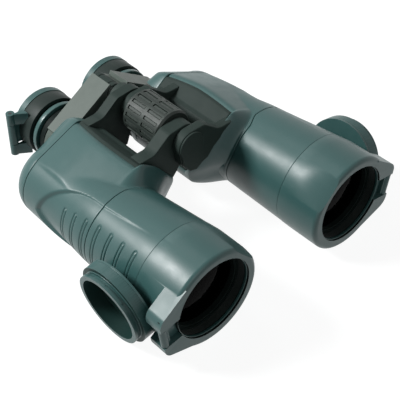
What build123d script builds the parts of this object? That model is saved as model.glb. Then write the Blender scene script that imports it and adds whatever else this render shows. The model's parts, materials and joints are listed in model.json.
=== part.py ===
from build123d import *
import os
from math import asin, cos, radians, sin, sqrt, tan

os.makedirs("parts", exist_ok=True)

# Frame: +Z up, the objectives face -Y, the user's right half is at -X.
# Stations are distances behind the plane of the objective rims.

# Whole object
overall_length = 206.7
floor_to_hinge = 62.6
fold_tilt = 25.9
hinge_to_objective = 65.2
eyepiece_out = 39.8
eyepiece_up = -17.4

# Stations along the object
front_seam = 32.4
rear_seam = 81.4
core_front = 86.0
chamber_front = 94.0
cover_seam = 148.5
cover_step = 154.0
cover_end = 162.0

# Rubber and frame walls
armour_wall = 3.2
chamber_length = 41.0
chamber_width = 21.0

# Objective
rim_radius = 33.4
front_seam_radius = 32.9
rear_seam_radius = 30.2
bore_radius = 27.0
bore_depth = 8.6
tube_radius = 27.8
tube_rear_radius = 24.6
tube_wall = 2.2
lens_radius = tube_radius - tube_wall
ring_start = 9.4
ring_end = 12.4

# Prisms
prism_length = 39.0
prism_width = 18.5
prism_height = 18.5
shelf_front = 118.0
shelf_rear = 121.0
beam_radius = 9.2
strap_thickness = 0.8
strap_gap = 0.2

# Hinge
shaft_radius = 6.0
shaft_front = 84.4
shaft_rear = 154.0
rod_radius = 3.4
rod_bore_radius = 4.0
running_fit = 0.05
arm_radius = 11.0
left_knuckle_radius = 10.0
left_front_arm = (84.0, 90.7)
right_front_arm = (91.0, 100.5)
left_rear_arm = (134.0, 140.6)
right_rear_arm = (141.0, 148.4)

# Focus wheel
wheel_radius = 14.7
wheel_front = 101.2
wheel_rear = 133.4
wheel_slots = 18
slot_length = 12.0
slot_width = 2.6
slot_depth = 1.3

# Eyepiece and bridge
wing_front = 158.8
wing_rear = 177.0
wing_slope = 6.6
wing_height = 8.0
wing_thickness = 5.0
wing_end = 47.0
hub_radius = 5.6
hub_clearance = 0.5
carrier_radius = 19.5
ocular_radius = 16.0
snout_radius = 14.0
snout_front = 147.0
dioptre_ring = (184.0, 187.5)
eyecup_front = 190.2
eyecup_rear = 201.7
eyecup_radius = 21.7
ocular_end = 195.0
eye_cap_front = 202.0
eye_cap_radius = 22.0
eye_hinge_out = 26.0
eye_hinge_station = 203.6
eye_hinge_radius = 3.0
eye_hinge_half = 17.0
eye_knuckle_half = 8.0

# Objective cap and its lug
cap_radius = 26.4
cap_hinge_radius = 37.2
cap_hinge_station = 2.4
cap_hinge_rise = 16.9
cap_open_angle = 269.0
cap_face = 3.4
cap_step = 4.4
cap_mouth = 9.0
cap_collar_radius = 23.8
cap_collar_wall = 3.0
cap_wall = 2.0
lug_half = 15.0
knuckle_half = 7.4
ear_gap = 0.4
knuckle_radius = 2.4
pin_radius = 1.2

# The cap ears stand this far in front of the rims, and the whole box is centred on Y = 0.
ear_front = knuckle_radius - cap_hinge_station
rim_y = (ear_front - overall_length) / 2
cut_past = 1.0
tilt_cos = cos(radians(fold_tilt))
tilt_sin = sin(radians(fold_tilt))


def half_section(station):
    """Cross plane of the right half: X away from the hinge, Y up from the half, Z rearward."""
    return Plane(
        origin=(0, rim_y + station, floor_to_hinge),
        x_dir=(-tilt_cos, 0, -tilt_sin),
        z_dir=(0, 1, 0),
    )


def level_section(station):
    """Cross plane at the hinge: X to the user's right, Y straight up, Z rearward."""
    return Plane(origin=(0, rim_y + station, floor_to_hinge), x_dir=(-1, 0, 0), z_dir=(0, 1, 0))


def axis_section(station, out, up):
    """Cross plane of the right half with its origin on an optical axis."""
    plane = half_section(station)
    return Plane(origin=plane.from_local_coords((out, up, 0)), x_dir=plane.x_dir, z_dir=plane.z_dir)


def axis_profile(out, up):
    """Plane through an optical axis: X is the radius and Y the station."""
    plane = axis_section(0, out, up)
    return Plane(origin=plane.origin, x_dir=plane.x_dir, z_dir=plane.x_dir.cross(Vector(0, 1, 0)))


def barrel_plane(station, radius, lift=0.0):
    """Cross plane centred on the barrel's outer circle, which keeps its lowest point near the floor."""
    plane = axis_section(station, hinge_to_objective, 0)
    middle = Vector(plane.origin.X, plane.origin.Y, radius + lift)
    return Plane(origin=middle, x_dir=plane.x_dir, z_dir=plane.z_dir)


def hand_in(builder, name):
    builder.part.label = name
    export_step(builder.part, f"parts/{name}.step")


def hand_in_pair(builder, name):
    hand_in(builder, f"right_{name}")
    with BuildPart() as other:
        mirror(builder.part, about=Plane.YZ)
    hand_in(other, f"left_{name}")


def revolved(profile_plane, points):
    """Ring turned about an optical axis from (radius, station) points."""
    with BuildPart() as turned:
        with BuildSketch(profile_plane):
            with BuildLine():
                Polyline(*points, close=True)
            make_face()
        revolve(axis=Axis(profile_plane.origin, (0, 1, 0)))
    return turned


objective_profile = axis_profile(hinge_to_objective, 0)
eyepiece_profile = axis_profile(eyepiece_out, eyepiece_up)

# Housing outline, in the half's own cross plane.
# The inner side runs from the seam corner over the saddle ledge to the lobe at the bottom.
seam_corner = (35.5, 21.5)
saddle_ledge = (27.0, 7.2)
lobe_corner = (20.9, -27.1)
foot_slope = tan(radians(fold_tilt))
foot_drop = floor_to_hinge / tilt_cos


def foot_point(out):
    """Point of the half's cross plane that lies on the surface the object stands on."""
    return (out, out * foot_slope - foot_drop)


outer_corners = [
    ((64.0, 22.5), 8.0),
    ((88.0, 13.0), 12.0),
    ((96.0, -6.0), 12.0),
    (foot_point(86.0), 6.0),
    (foot_point(72.0), 6.0),
    ((48.0, -38.5), 14.0),
    ((30.0, -36.5), 9.0),
]

with BuildSketch() as armour_outline:
    with BuildLine():
        Polyline(
            seam_corner,
            *[corner for corner, rounding in outer_corners],
            lobe_corner,
            saddle_ledge,
            close=True,
        )
    make_face()
    for corner, rounding in outer_corners:
        fillet(armour_outline.vertices().sort_by_distance((*corner, 0))[0], rounding)

# The frame comes through the rubber along the saddle, so the core takes in that strip.
core_low_corner = (27.0, -28.0)
core_high_corner = (40.0, 18.5)
with BuildSketch() as core_outline:
    add(armour_outline.sketch)
    offset(amount=-armour_wall, kind=Kind.INTERSECTION, mode=Mode.REPLACE)
    with BuildLine():
        Polyline(seam_corner, saddle_ledge, lobe_corner, core_low_corner, core_high_corner, close=True)
    make_face()

prism_path = (eyepiece_out - hinge_to_objective, eyepiece_up)
prism_turn = Vector(*prism_path).get_signed_angle(Vector(1, 0, 0), Vector(0, 0, -1))
prism_shift = sqrt(prism_path[0] ** 2 + prism_path[1] ** 2) / sqrt(2)
rear_prism_angle = prism_turn - 45
front_prism_angle = prism_turn + 45
middle_out = hinge_to_objective + prism_shift * cos(radians(rear_prism_angle))
middle_up = prism_shift * sin(radians(rear_prism_angle))
rear_prism_at = ((hinge_to_objective + middle_out) / 2, middle_up / 2)
front_prism_at = ((eyepiece_out + middle_out) / 2, (eyepiece_up + middle_up) / 2)

snout_room = 1.0
with BuildSketch() as chamber_outline:
    with Locations(rear_prism_at):
        Rectangle(chamber_length, chamber_width, rotation=rear_prism_angle)
    with Locations(front_prism_at):
        Rectangle(chamber_length, chamber_width, rotation=front_prism_angle)
    with Locations((eyepiece_out, eyepiece_up)):
        Circle(snout_radius + snout_room)


def placed(sketch, station):
    """Copy of an outline on the half's cross plane at a station."""
    return half_section(station) * sketch


# Screws that hold the rear cover: their heads sit deep in the cover and they bite into the housing
screw_spots = [(80.0, 7.0), (82.0, -10.0), (72.0, -24.0)]
screw_radius = 1.25
screw_head_radius = 2.4
screw_head_height = 1.4
screw_head_station = 157.0
screw_end = 144.0
screw_gap = 0.1

# Housing: prism chamber with the saddle as its inner face
objective_hole_radius = 20.0
with BuildPart() as housing:
    extrude(placed(core_outline.sketch, core_front), amount=cover_seam - core_front)
    extrude(
        placed(chamber_outline.sketch, chamber_front),
        amount=cover_seam - chamber_front,
        mode=Mode.SUBTRACT,
    )
    with BuildSketch(axis_section(core_front, hinge_to_objective, 0)):
        Circle(objective_hole_radius)
    extrude(amount=chamber_front - core_front + cut_past, mode=Mode.SUBTRACT)
    with BuildSketch(half_section(screw_end - screw_gap)):
        with Locations(*screw_spots):
            Circle(screw_radius + screw_gap)
    extrude(amount=cover_seam - screw_end + cut_past, mode=Mode.SUBTRACT)
hand_in_pair(housing, "housing")

# Room for the objective tube, which narrows behind the front seam
tube_room = [(0, front_seam), (tube_radius, front_seam), (tube_rear_radius, core_front), (0, core_front)]
tube_cutter = revolved(objective_profile, tube_room)

# Armour: rubber skin round the housing, with the barrel's cone carried on through it
shoulder_end = 147.0
shoulder_radius = 26.3
shoulder_lift = 0.5
shoulder_front_radius = rear_seam_radius - shoulder_lift
with BuildPart() as armour:
    extrude(placed(armour_outline.sketch, rear_seam), amount=cover_seam - rear_seam)
    with BuildSketch(barrel_plane(rear_seam, shoulder_front_radius, shoulder_lift)):
        Circle(shoulder_front_radius)
    with BuildSketch(barrel_plane(shoulder_end, shoulder_radius, shoulder_lift)):
        Circle(shoulder_radius)
    loft()
    extrude(placed(core_outline.sketch, core_front), amount=cover_seam - core_front, mode=Mode.SUBTRACT)
    add(tube_cutter.part, mode=Mode.SUBTRACT)
hand_in_pair(armour, "armour")

# Rear cover: closes the chamber and is cut back round the moving eyepiece carrier
cover_pocket = 2.5
carrier_gap = 1.6
carrier_side = 63.5
cutaway_inner = -5.0
cutaway_low = -60.0
snout_gap = 0.4
cover_round = 4.0
with BuildPart() as rear_cover:
    extrude(placed(armour_outline.sketch, cover_seam), amount=cover_end - cover_seam)
    fillet(rear_cover.faces().sort_by(Axis.Y)[-1].outer_wire().edges(), cover_round)
    extrude(placed(chamber_outline.sketch, cover_seam), amount=cover_pocket, mode=Mode.SUBTRACT)
    with BuildSketch(half_section(cover_step)):
        with BuildLine():
            Polyline(
                (cutaway_inner, wing_height + carrier_gap),
                (carrier_side, wing_height + carrier_gap - carrier_side * tan(radians(wing_slope))),
                (carrier_side, cutaway_low),
                (cutaway_inner, cutaway_low),
                close=True,
            )
        make_face()
    extrude(amount=cover_end - cover_step + cut_past, mode=Mode.SUBTRACT)
    with BuildSketch(axis_section(cover_seam, eyepiece_out, eyepiece_up)):
        Circle(snout_radius + snout_gap)
    extrude(amount=cover_step - cover_seam + cut_past, mode=Mode.SUBTRACT)
    with BuildSketch(half_section(cover_seam)):
        with Locations(*screw_spots):
            Circle(screw_radius + screw_gap)
    extrude(amount=cover_end - cover_seam + cut_past, mode=Mode.SUBTRACT)
    with BuildSketch(half_section(screw_head_station - screw_head_height)):
        with Locations(*screw_spots):
            Circle(screw_head_radius + screw_gap)
    extrude(amount=cover_end - screw_head_station + screw_head_height + cut_past, mode=Mode.SUBTRACT)
hand_in_pair(rear_cover, "rear_cover")

with BuildPart() as cover_screws:
    with BuildSketch(half_section(screw_head_station)):
        with Locations(*screw_spots):
            Circle(screw_head_radius)
    extrude(amount=-screw_head_height)
    with BuildSketch(half_section(screw_head_station - screw_head_height)):
        with Locations(*screw_spots):
            Circle(screw_radius)
    extrude(amount=screw_end - screw_head_station + screw_head_height)
hand_in_pair(cover_screws, "cover_screws")

# Barrel sleeve between the two seams
with BuildPart() as barrel_sleeve:
    with BuildSketch(barrel_plane(front_seam, front_seam_radius)):
        Circle(front_seam_radius)
    with BuildSketch(barrel_plane(rear_seam, rear_seam_radius)):
        Circle(rear_seam_radius)
    loft()
    add(tube_cutter.part, mode=Mode.SUBTRACT)
hand_in_pair(barrel_sleeve, "barrel_sleeve")

# Objective shroud with the two ears that carry the cap
rim_round = 3.0
rim_land = 24.0
cap_rise_cos = cos(radians(cap_hinge_rise))
cap_rise_sin = sin(radians(cap_hinge_rise))
half_frame = half_section(0)
lug_out = half_frame.x_dir * cap_rise_cos + half_frame.y_dir * cap_rise_sin
pin_centre = Vector(
    half_frame.from_local_coords(
        (
            hinge_to_objective + cap_hinge_radius * cap_rise_cos,
            cap_hinge_radius * cap_rise_sin,
            cap_hinge_station,
        )
    )
)
pin_along = lug_out.cross(Vector(0, 1, 0))
lug_side = Plane(origin=pin_centre, x_dir=lug_out, z_dir=pin_along)
ear_start = knuckle_half + ear_gap
lug_tip = cap_hinge_radius + knuckle_radius
lug_flare = 55.0
lug_land = 12.2
lug_back = 14.4
lug_back_tip = 32.0
lug_back_half = 12.0
lug_sink = 0.95
notch_depth = 4.0
facet_angle = 164.0
facet_radius = 29.8
facet_length = 9.0
facet_half = 24.0


def lug_plane(station):
    """Cross plane on the objective axis with X towards the cap's pin."""
    axis_point = axis_section(station, hinge_to_objective, 0).origin
    return Plane(origin=axis_point, x_dir=lug_out, z_dir=(0, 1, 0))


def lug_outline(tip, half):
    """Lug seen from the front: it leaves the rim at a tangent and ends in a straight edge."""
    flare_in = lug_sink * rim_radius * cos(radians(lug_flare))
    flare_half = lug_sink * rim_radius * sin(radians(lug_flare))
    return [(flare_in, -flare_half), (tip, -half), (tip, half), (flare_in, flare_half)]


with BuildPart() as objective_shroud:
    with BuildSketch(barrel_plane(0, rim_radius)):
        Circle(rim_radius)
    extrude(amount=rim_land)
    fillet(objective_shroud.edges().filter_by(GeomType.CIRCLE).group_by(Axis.Y)[0], rim_round)
    with BuildSketch(barrel_plane(rim_land, rim_radius)):
        Circle(rim_radius)
    with BuildSketch(barrel_plane(front_seam, front_seam_radius)):
        Circle(front_seam_radius)
    loft()
    with BuildSketch(lug_plane(0)):
        with BuildLine():
            Polyline(*lug_outline(lug_tip, lug_half), close=True)
        make_face()
    extrude(amount=lug_land)
    with BuildSketch(lug_plane(lug_land)):
        with BuildLine():
            Polyline(*lug_outline(lug_tip, lug_half), close=True)
        make_face()
    with BuildSketch(lug_plane(lug_back)):
        with BuildLine():
            Polyline(*lug_outline(lug_back_tip, lug_back_half), close=True)
        make_face()
    loft(ruled=True)
    with BuildSketch(lug_plane(-cut_past)):
        with Locations(((rim_radius + lug_tip + cut_past) / 2, 0)):
            Rectangle(lug_tip + cut_past - rim_radius, 2 * ear_start)
    extrude(amount=lug_back + 2 * cut_past, mode=Mode.SUBTRACT)
    with BuildSketch(axis_section(0, hinge_to_objective, 0)):
        Circle(tube_radius)
    extrude(amount=front_seam, mode=Mode.SUBTRACT)
    with BuildSketch(objective_profile):
        with BuildLine():
            Polyline(
                (bore_radius, 0),
                (tube_radius, 0),
                (tube_radius, bore_depth),
                (bore_radius, bore_depth),
                close=True,
            )
        make_face()
    revolve(axis=Axis(objective_profile.origin, (0, 1, 0)))
    with BuildSketch(lug_plane(-cut_past)):
        with Locations(((bore_radius + lug_tip) / 2, 0)):
            Rectangle(lug_tip - bore_radius + 2 * cut_past, 2 * ear_start)
    extrude(amount=notch_depth + cut_past, mode=Mode.SUBTRACT)
    facet_way = half_frame.x_dir * cos(radians(facet_angle)) + half_frame.y_dir * sin(radians(facet_angle))
    facet_slope = (rim_radius - facet_radius) / facet_length
    facet_plane = Plane(
        origin=objective_profile.origin,
        x_dir=facet_way,
        z_dir=facet_way.cross(Vector(0, 1, 0)),
    )
    with BuildSketch(facet_plane):
        with BuildLine():
            Polyline(
                (facet_radius - cut_past * facet_slope, -cut_past),
                (rim_radius + facet_slope * cut_past, facet_length + cut_past),
                (rim_radius + facet_slope * cut_past, -cut_past),
                close=True,
            )
        make_face()
    extrude(amount=facet_half, both=True, mode=Mode.SUBTRACT)
    with BuildSketch(lug_side.offset(-lug_half)):
        Circle(pin_radius)
    extrude(amount=2 * lug_half, mode=Mode.SUBTRACT)
hand_in_pair(objective_shroud, "objective_shroud")

# Objective tube, its retaining ring and the two lens elements
tube_points = [
    (lens_radius, bore_depth),
    (tube_radius, bore_depth),
    (tube_radius, front_seam),
    (tube_rear_radius, core_front),
    (tube_rear_radius - tube_wall, core_front),
    (lens_radius, front_seam),
]
hand_in_pair(revolved(objective_profile, tube_points), "objective_tube")

ring_inner = 24.3
ring_points = [
    (ring_inner, ring_start),
    (lens_radius, ring_start),
    (lens_radius, ring_end),
    (ring_inner, ring_end),
]
hand_in_pair(revolved(objective_profile, ring_points), "objective_ring")

crown_front_edge = 12.7
crown_front_sag = 2.6
crown_edge = 16.4
crown_rear_sag = 3.0
flint_rear = 22.0


def sag_arc(edge_station, sag, radius):
    """Arc of a lens face from its edge to the optical axis, centred on that axis."""
    sphere = (radius**2 + sag**2) / (2 * sag)
    vertex = edge_station + sag
    half_angle = asin(radius / abs(sphere)) / 2
    middle = (abs(sphere) * sin(half_angle), vertex - sphere * (1 - cos(half_angle)))
    return ThreePointArc((radius, edge_station), middle, (0, vertex))


with BuildPart() as objective_crown:
    with BuildSketch(objective_profile):
        with BuildLine():
            sag_arc(crown_front_edge, -crown_front_sag, lens_radius)
            Line((0, crown_front_edge - crown_front_sag), (0, crown_edge + crown_rear_sag))
            sag_arc(crown_edge, crown_rear_sag, lens_radius)
            Line((lens_radius, crown_edge), (lens_radius, crown_front_edge))
        make_face()
    revolve(axis=Axis(objective_profile.origin, (0, 1, 0)))
hand_in_pair(objective_crown, "objective_crown")

with BuildPart() as objective_flint:
    with BuildSketch(objective_profile):
        with BuildLine():
            sag_arc(crown_edge, crown_rear_sag, lens_radius)
            Polyline(
                (0, crown_edge + crown_rear_sag),
                (0, flint_rear),
                (lens_radius, flint_rear),
                (lens_radius, crown_edge),
            )
        make_face()
    revolve(axis=Axis(objective_profile.origin, (0, 1, 0)))
hand_in_pair(objective_flint, "objective_flint")

# Prisms on either side of their shelf, each with a spring strap
prism_tip = 1.5
strap_width = 6.0


def prism_plane(spot, angle, station, facing):
    """Plane at a prism's face: X along the prism, Y towards its ridge."""
    cross = half_section(station)
    along = cross.x_dir * cos(radians(angle)) + cross.y_dir * sin(radians(angle))
    ridge = Vector(0, facing, 0)
    return Plane(origin=cross.from_local_coords((*spot, 0)), x_dir=along, z_dir=along.cross(ridge))


front_prism_plane = prism_plane(front_prism_at, front_prism_angle, shelf_front, -1)
rear_prism_plane = prism_plane(rear_prism_at, rear_prism_angle, shelf_rear, 1)

for name, plane in (("prism_front", front_prism_plane), ("prism_rear", rear_prism_plane)):
    with BuildPart() as prism:
        with BuildSketch(plane):
            with BuildLine():
                Polyline(
                    (-prism_length / 2, 0),
                    (prism_length / 2, 0),
                    (prism_tip, prism_height),
                    (-prism_tip, prism_height),
                    close=True,
                )
            make_face()
        extrude(amount=prism_width / 2, both=True)
    hand_in_pair(prism, name)

strap_half = prism_width / 2 + strap_gap
with BuildPart() as prism_clips:
    for plane in (front_prism_plane, rear_prism_plane):
        across = Plane(origin=plane.origin, x_dir=plane.z_dir, z_dir=plane.x_dir)
        ridge_way = across.y_dir.dot(plane.y_dir)
        with BuildSketch(across):
            with BuildLine():
                Polyline(
                    (-strap_half - strap_thickness, 0),
                    (-strap_half - strap_thickness, (prism_height + strap_thickness) * ridge_way),
                    (strap_half + strap_thickness, (prism_height + strap_thickness) * ridge_way),
                    (strap_half + strap_thickness, 0),
                    (strap_half, 0),
                    (strap_half, prism_height * ridge_way),
                    (-strap_half, prism_height * ridge_way),
                    (-strap_half, 0),
                    close=True,
                )
            make_face()
        extrude(amount=strap_width / 2, both=True)
hand_in_pair(prism_clips, "prism_clips")

with BuildPart() as prism_shelf:
    extrude(placed(chamber_outline.sketch, shelf_front), amount=shelf_rear - shelf_front)
    with BuildSketch(half_section(shelf_front)):
        with Locations((hinge_to_objective, 0), (middle_out, middle_up), (eyepiece_out, eyepiece_up)):
            Circle(beam_radius)
    extrude(amount=shelf_rear - shelf_front, mode=Mode.SUBTRACT)
hand_in_pair(prism_shelf, "prism_shelf")

# Hinge arms: S-shaped from the saddle up to the shaft
arm_foot = (36.7, 0.2)
arm_bend = (24.0, 0.2)
arm_crest = (11.5, 10.0)
arm_root = (20.0, -12.0)
knuckle_under = (-3.0, -8.0)
front_web_low = (5.0, -22.0)
front_web_root = (14.0, -32.5)
web_low = (5.0, -31.0)
web_root = (14.0, -33.5)
arm_bend_round = 9.0
arm_crest_round = 5.0
front_under = [knuckle_under, front_web_low, front_web_root]
rear_under = [knuckle_under, web_low, web_root]
tongue_under = [(-9.8, 0.0), (-7.6, -12.5), (-2.0, -20.0), (4.0, -22.0), (15.0, -18.0), arm_root]


def arm_block(stations, knuckle, under_points, shaft_hole):
    """Right-hand hinge arm between two stations, trimmed to the housing."""
    thickness = stations[1] - stations[0]
    with BuildPart() as arm:
        with BuildSketch(level_section(stations[0])) as arm_face:
            with BuildLine():
                Polyline(
                    arm_foot,
                    arm_bend,
                    arm_crest,
                    (0, knuckle),
                    *under_points,
                    close=True,
                )
            make_face()
            fillet(arm_face.vertices().sort_by_distance((*arm_bend, 0))[0], arm_bend_round)
            fillet(arm_face.vertices().sort_by_distance((*arm_crest, 0))[0], arm_crest_round)
            Circle(knuckle)
        extrude(amount=thickness)
        extrude(placed(armour_outline.sketch, stations[0]), amount=thickness, mode=Mode.SUBTRACT)
        with BuildSketch(level_section(stations[0])):
            Circle(shaft_hole)
        extrude(amount=thickness, mode=Mode.SUBTRACT)
    return arm


hand_in(arm_block(right_front_arm, arm_radius, front_under, shaft_radius), "right_front_arm")
hand_in(arm_block(right_rear_arm, arm_radius, rear_under, shaft_radius), "right_rear_arm")

for name, stations, under in (
    ("left_front_arm", left_front_arm, tongue_under),
    ("left_rear_arm", left_rear_arm, rear_under),
):
    right_hand = arm_block(stations, left_knuckle_radius, under, shaft_radius + running_fit)
    with BuildPart() as left_arm:
        mirror(right_hand.part, about=Plane.YZ)
    hand_in(left_arm, name)

# Cover plate on the front of the left arm, over the end of the shaft
cover_plate_thickness = 1.5
cover_plate_radius = 9.6
plate_points = [(9.4, 0.0), (7.2, -12.2), (2.0, -19.4), (-3.6, -21.2), (-9.5, -17.0), (-9.4, 0.0)]
with BuildPart() as hinge_cover:
    with BuildSketch(level_section(left_front_arm[0] - cover_plate_thickness)):
        Circle(cover_plate_radius)
        with BuildLine():
            Polyline(*plate_points, close=True)
        make_face()
    extrude(amount=cover_plate_thickness)
hand_in(hinge_cover, "hinge_cover")

rod_bore_front = 104.0
with BuildPart() as hinge_shaft:
    with BuildSketch(level_section(shaft_front)):
        Circle(shaft_radius)
    extrude(amount=shaft_rear - shaft_front)
    with BuildSketch(level_section(rod_bore_front)):
        Circle(rod_bore_radius)
    extrude(amount=shaft_rear - rod_bore_front, mode=Mode.SUBTRACT)
hand_in(hinge_shaft, "hinge_shaft")

nut_radius = 9.0
with BuildPart() as hinge_nut:
    with BuildSketch(level_section(right_rear_arm[1])):
        Circle(nut_radius)
        Circle(shaft_radius, mode=Mode.SUBTRACT)
    extrude(amount=shaft_rear - right_rear_arm[1])
hand_in(hinge_nut, "hinge_nut")

# Focus wheel with two rows of slots
wheel_chamfer = 1.2
slot_rows = (0.27, 0.73)
with BuildPart() as focus_wheel:
    with BuildSketch(level_section(wheel_front)):
        Circle(wheel_radius)
    extrude(amount=wheel_rear - wheel_front)
    chamfer(focus_wheel.edges().filter_by(GeomType.CIRCLE), wheel_chamfer)
    with BuildSketch(level_section(wheel_front)):
        Circle(shaft_radius + running_fit)
    extrude(amount=wheel_rear - wheel_front, mode=Mode.SUBTRACT)
    for row in slot_rows:
        row_station = wheel_front + row * (wheel_rear - wheel_front)
        with Locations(level_section(row_station)):
            with PolarLocations(wheel_radius, wheel_slots):
                Box(2 * slot_depth, slot_width, slot_length, mode=Mode.SUBTRACT)
hand_in(focus_wheel, "focus_wheel")

rod_front = 110.0
rod_rear = 177.6
with BuildPart() as focus_rod:
    with BuildSketch(level_section(rod_front)):
        Circle(rod_radius)
    extrude(amount=rod_rear - rod_front)
hand_in(focus_rod, "focus_rod")

# Eyepiece carriers: flat bridge wing, hub knuckle and ring round the eyepiece
hub_split = (163.0, 173.0)
knuckle_gap = 0.4
own_middle = [hub_split]
own_ends = [(wing_front, hub_split[0] - knuckle_gap), (hub_split[1] + knuckle_gap, wing_rear)]
wing_fall = tan(radians(wing_slope))
neck_top = 5.0
neck_bottom = 1.0
left_wing_start = 9.0


def carrier(own_knuckles, other_knuckles, bore, hub_bore, wing_start):
    """Right-hand carrier with its own hub knuckles and room for the other half's."""
    with BuildPart() as piece:
        with BuildSketch(half_section(wing_front)):
            with BuildLine():
                Polyline(
                    (wing_start, wing_height - wing_start * wing_fall),
                    (wing_end, wing_height - wing_end * wing_fall),
                    (wing_end, wing_height - wing_end * wing_fall - wing_thickness),
                    (wing_start, wing_height - wing_start * wing_fall - wing_thickness),
                    close=True,
                )
            make_face()
            with BuildLine():
                Polyline(
                    (0, neck_top),
                    (eyepiece_out, neck_top - eyepiece_out * wing_fall),
                    (eyepiece_out, neck_bottom - eyepiece_out * wing_fall),
                    (0, neck_bottom),
                    close=True,
                )
            make_face()
            with Locations((eyepiece_out, eyepiece_up)):
                Circle(carrier_radius)
        extrude(amount=wing_rear - wing_front)
        for start, end in other_knuckles:
            with BuildSketch(half_section(start - knuckle_gap)):
                Circle(hub_radius + hub_clearance)
            extrude(amount=end - start + 2 * knuckle_gap, mode=Mode.SUBTRACT)
        for start, end in own_knuckles:
            with BuildSketch(half_section(start)):
                Circle(hub_radius)
            extrude(amount=end - start)
        with BuildSketch(half_section(wing_front)):
            Circle(hub_bore)
            with Locations((eyepiece_out, eyepiece_up)):
                Circle(bore)
        extrude(amount=wing_rear - wing_front, mode=Mode.SUBTRACT)
    return piece


slide_gap = 0.3
right_hand = carrier(own_middle, own_ends, ocular_radius + slide_gap, rod_radius, 0.0)
hand_in(right_hand, "right_eyepiece_carrier")
left_hand = carrier(own_ends, own_middle, ocular_radius, rod_radius + slide_gap, left_wing_start)
with BuildPart() as left_carrier:
    mirror(left_hand.part, about=Plane.YZ)
hand_in(left_carrier, "left_eyepiece_carrier")

# Eyepiece tube, its lenses, trim ring, eyecup and cap
neck_radius = 17.0
flange_radius = 18.6
seat_radius = 17.5
ocular_bore = 12.5
snout_bore = 11.0
ring_play = 1.4
ocular_step = 160.0
bore_step = 162.0
flange_front = 178.6
tube_outline = [
    (snout_bore, snout_front),
    (snout_radius, snout_front),
    (snout_radius, ocular_step),
    (ocular_radius, ocular_step),
    (ocular_radius, flange_front),
    (flange_radius, flange_front),
    (flange_radius, dioptre_ring[0] - ring_play),
    (neck_radius, dioptre_ring[0] - ring_play),
    (neck_radius, dioptre_ring[1] + ring_play),
    (flange_radius, dioptre_ring[1] + ring_play),
    (flange_radius, eyecup_front),
    (seat_radius, eyecup_front),
    (seat_radius, ocular_end),
    (ocular_bore, ocular_end),
    (ocular_bore, bore_step),
    (snout_bore, bore_step),
]
hand_in_pair(revolved(eyepiece_profile, tube_outline), "eyepiece_tube")


def biconvex(radius, start, end, sag):
    """Lens with two bulging faces whose rims are at the start and end stations."""
    with BuildPart() as lens:
        with BuildSketch(eyepiece_profile):
            with BuildLine():
                sag_arc(start, -sag, radius)
                Line((0, start - sag), (0, end + sag))
                sag_arc(end, sag, radius)
                Line((radius, end), (radius, start))
            make_face()
        revolve(axis=Axis(eyepiece_profile.origin, (0, 1, 0)))
    return lens


field_lens_rims = (151.0, 153.0)
field_lens_sag = 1.8
eye_lens_rims = (188.5, 191.0)
eye_lens_sag = 2.0
hand_in_pair(biconvex(snout_bore, *field_lens_rims, field_lens_sag), "field_lens")
hand_in_pair(biconvex(ocular_bore, *eye_lens_rims, eye_lens_sag), "eye_lens")

ring_outer = 20.8
trim_outline = [
    (neck_radius + slide_gap, dioptre_ring[0]),
    (ring_outer, dioptre_ring[0]),
    (ring_outer, dioptre_ring[1]),
    (neck_radius + slide_gap, dioptre_ring[1]),
]
eyepiece_ring = revolved(eyepiece_profile, trim_outline)
hand_in(eyepiece_ring, "right_dioptre_ring")
with BuildPart() as left_ring:
    mirror(eyepiece_ring.part, about=Plane.YZ)
hand_in(left_ring, "left_eyepiece_ring")

eye_centre = axis_section(eye_hinge_station, eyepiece_out, eyepiece_up).origin
eye_ear_start = eye_knuckle_half + ear_gap
eye_ear_length = eye_hinge_half - eye_ear_start
ear_lip = eyecup_rear - eye_hinge_station
ear_inner_radius = 17.0
ear_reach = eye_hinge_out - ear_inner_radius
ear_step = 3.4
ear_depth = 6.0
eye_cap_pocket = 2.4
cap_arm_inner = 16.0


def eye_hinge_plane(way):
    """Plane across the pin of an eyepiece cap that hinges on that side: X outward, Y rearward."""
    return Plane(origin=eye_centre + way * eye_hinge_out, x_dir=way, z_dir=way.cross(Vector(0, 1, 0)))


def make_eyecup(hinge):
    """Rubber eyecup with two ears for the cap's pin."""
    with BuildPart() as cup:
        with BuildSketch(eyepiece_profile):
            with BuildLine():
                Polyline(
                    (seat_radius, eyecup_front),
                    (eyecup_radius, eyecup_front),
                    (eyecup_radius, eyecup_rear),
                    (seat_radius, eyecup_rear),
                    close=True,
                )
            make_face()
        revolve(axis=Axis(eyepiece_profile.origin, (0, 1, 0)))
        for side in (eye_ear_start, -eye_hinge_half):
            with BuildSketch(hinge.offset(side)):
                Circle(eye_hinge_radius)
                with BuildLine():
                    Polyline(
                        (eye_hinge_radius, 0),
                        (-ear_step, ear_lip),
                        (-ear_reach, ear_lip),
                        (-ear_reach, ear_lip - ear_depth),
                        close=True,
                    )
                make_face()
            extrude(amount=eye_ear_length)
        with BuildSketch(axis_section(eyecup_front, eyepiece_out, eyepiece_up)):
            Circle(seat_radius)
        extrude(amount=overall_length - eyecup_front, mode=Mode.SUBTRACT)
        with BuildSketch(hinge.offset(-eye_hinge_half)):
            Circle(pin_radius)
        extrude(amount=2 * eye_hinge_half, mode=Mode.SUBTRACT)
    return cup


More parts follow.
